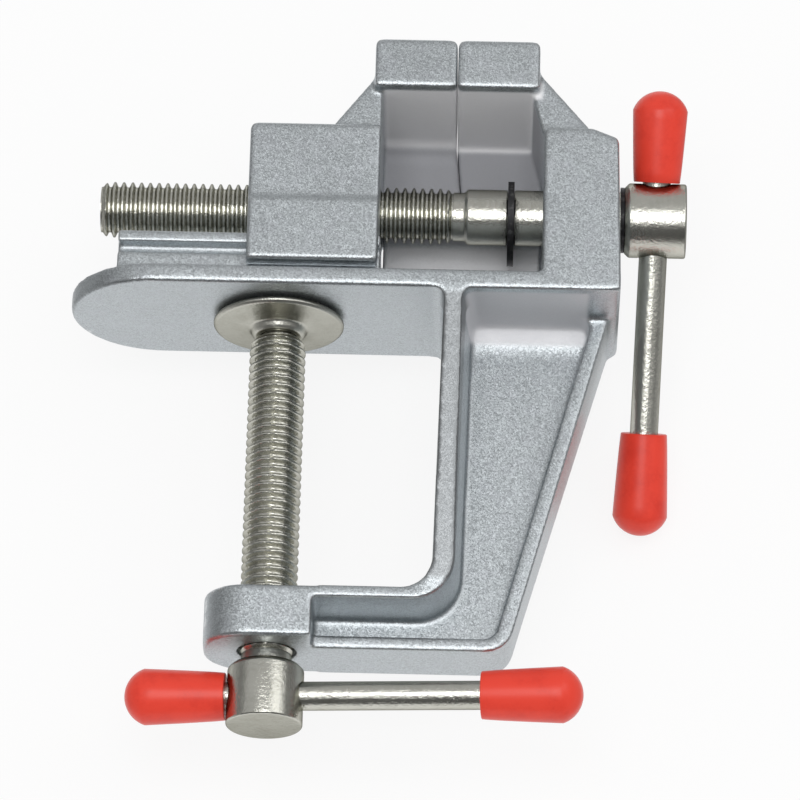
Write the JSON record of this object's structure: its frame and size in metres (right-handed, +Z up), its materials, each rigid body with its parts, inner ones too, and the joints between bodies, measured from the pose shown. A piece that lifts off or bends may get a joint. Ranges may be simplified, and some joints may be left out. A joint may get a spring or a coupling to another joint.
{
  "type": "mini table vise",
  "caption": "Small cast bench vise that clamps to a table edge: sliding jaw on a rail, jaw screw and clamp screw, each turned by a tommy bar with soft caps.",
  "frame": {"origin": "on the table seat, the underside of the plate, on the clamp screw's axis", "axes": "+X from the tongue towards the fixed jaw and the jaw screw's head, -Y to the open front, +Z up"},
  "size_m": [0.0866, 0.0346, 0.0995],
  "materials": {
    "cast_aluminium": "blasted casting",
    "plated_steel": "bright nickel plate",
    "black_steel": "black oxide",
    "red_vinyl": "dipped soft vinyl"
  },
  "bodies": {
    "frame": {"frame_casting": "cast_aluminium"},
    "moving_jaw": {"moving_jaw": "cast_aluminium"},
    "jaw_screw": {"jaw_screw": "plated_steel", "retaining_clip": "black_steel", "thrust_washer": "black_steel"},
    "jaw_bar": {"jaw_bar_rod": "plated_steel", "jaw_bar_upper_cap": "red_vinyl", "jaw_bar_lower_cap": "red_vinyl"},
    "clamp_pad": {"clamp_pad": "plated_steel"},
    "clamp_screw": {"clamp_screw": "plated_steel"},
    "clamp_bar": {"clamp_bar_rod": "plated_steel", "clamp_bar_near_cap": "red_vinyl", "clamp_bar_far_cap": "red_vinyl"}
  },
  "joints": [
    {"name": "jaw_screw_turn", "type": "hinge", "parent": "frame", "child": "jaw_screw", "pos_m": [0, 0, 0.01645], "axis": [1, 0, 0], "range_deg": [-14.4, 7056]},
    {"name": "moving_jaw_slide", "type": "slide", "parent": "frame", "child": "moving_jaw", "axis": [1, 0, 0], "range_m": [-0.0245, 0.00005]},
    {"name": "jaw_bar_slide", "type": "slide", "parent": "jaw_screw", "child": "jaw_bar", "axis": [0.0288, -0.4319, 0.9015], "range_m": [0, 0.0248]},
    {"name": "clamp_pad_slide", "type": "slide", "parent": "frame", "child": "clamp_pad", "axis": [0, 0, 1], "range_m": [-0.038, 0.00035]},
    {"name": "clamp_screw_turn", "type": "hinge", "parent": "clamp_pad", "child": "clamp_screw", "pos_m": [0, 0, -0.03], "axis": [0, 0, 1], "range_deg": [-10944, 100.8]},
    {"name": "clamp_bar_slide", "type": "slide", "parent": "clamp_screw", "child": "clamp_bar", "axis": [-0.9969, 0.0785, 0], "range_m": [0, 0.0244]}
  ],
  "couplings": [
    {"joint": "moving_jaw_slide", "follows": "jaw_screw_turn", "m_per_rad": -0.00019894},
    {"joint": "clamp_pad_slide", "follows": "clamp_screw_turn", "m_per_rad": 0.00019894}
  ]
}
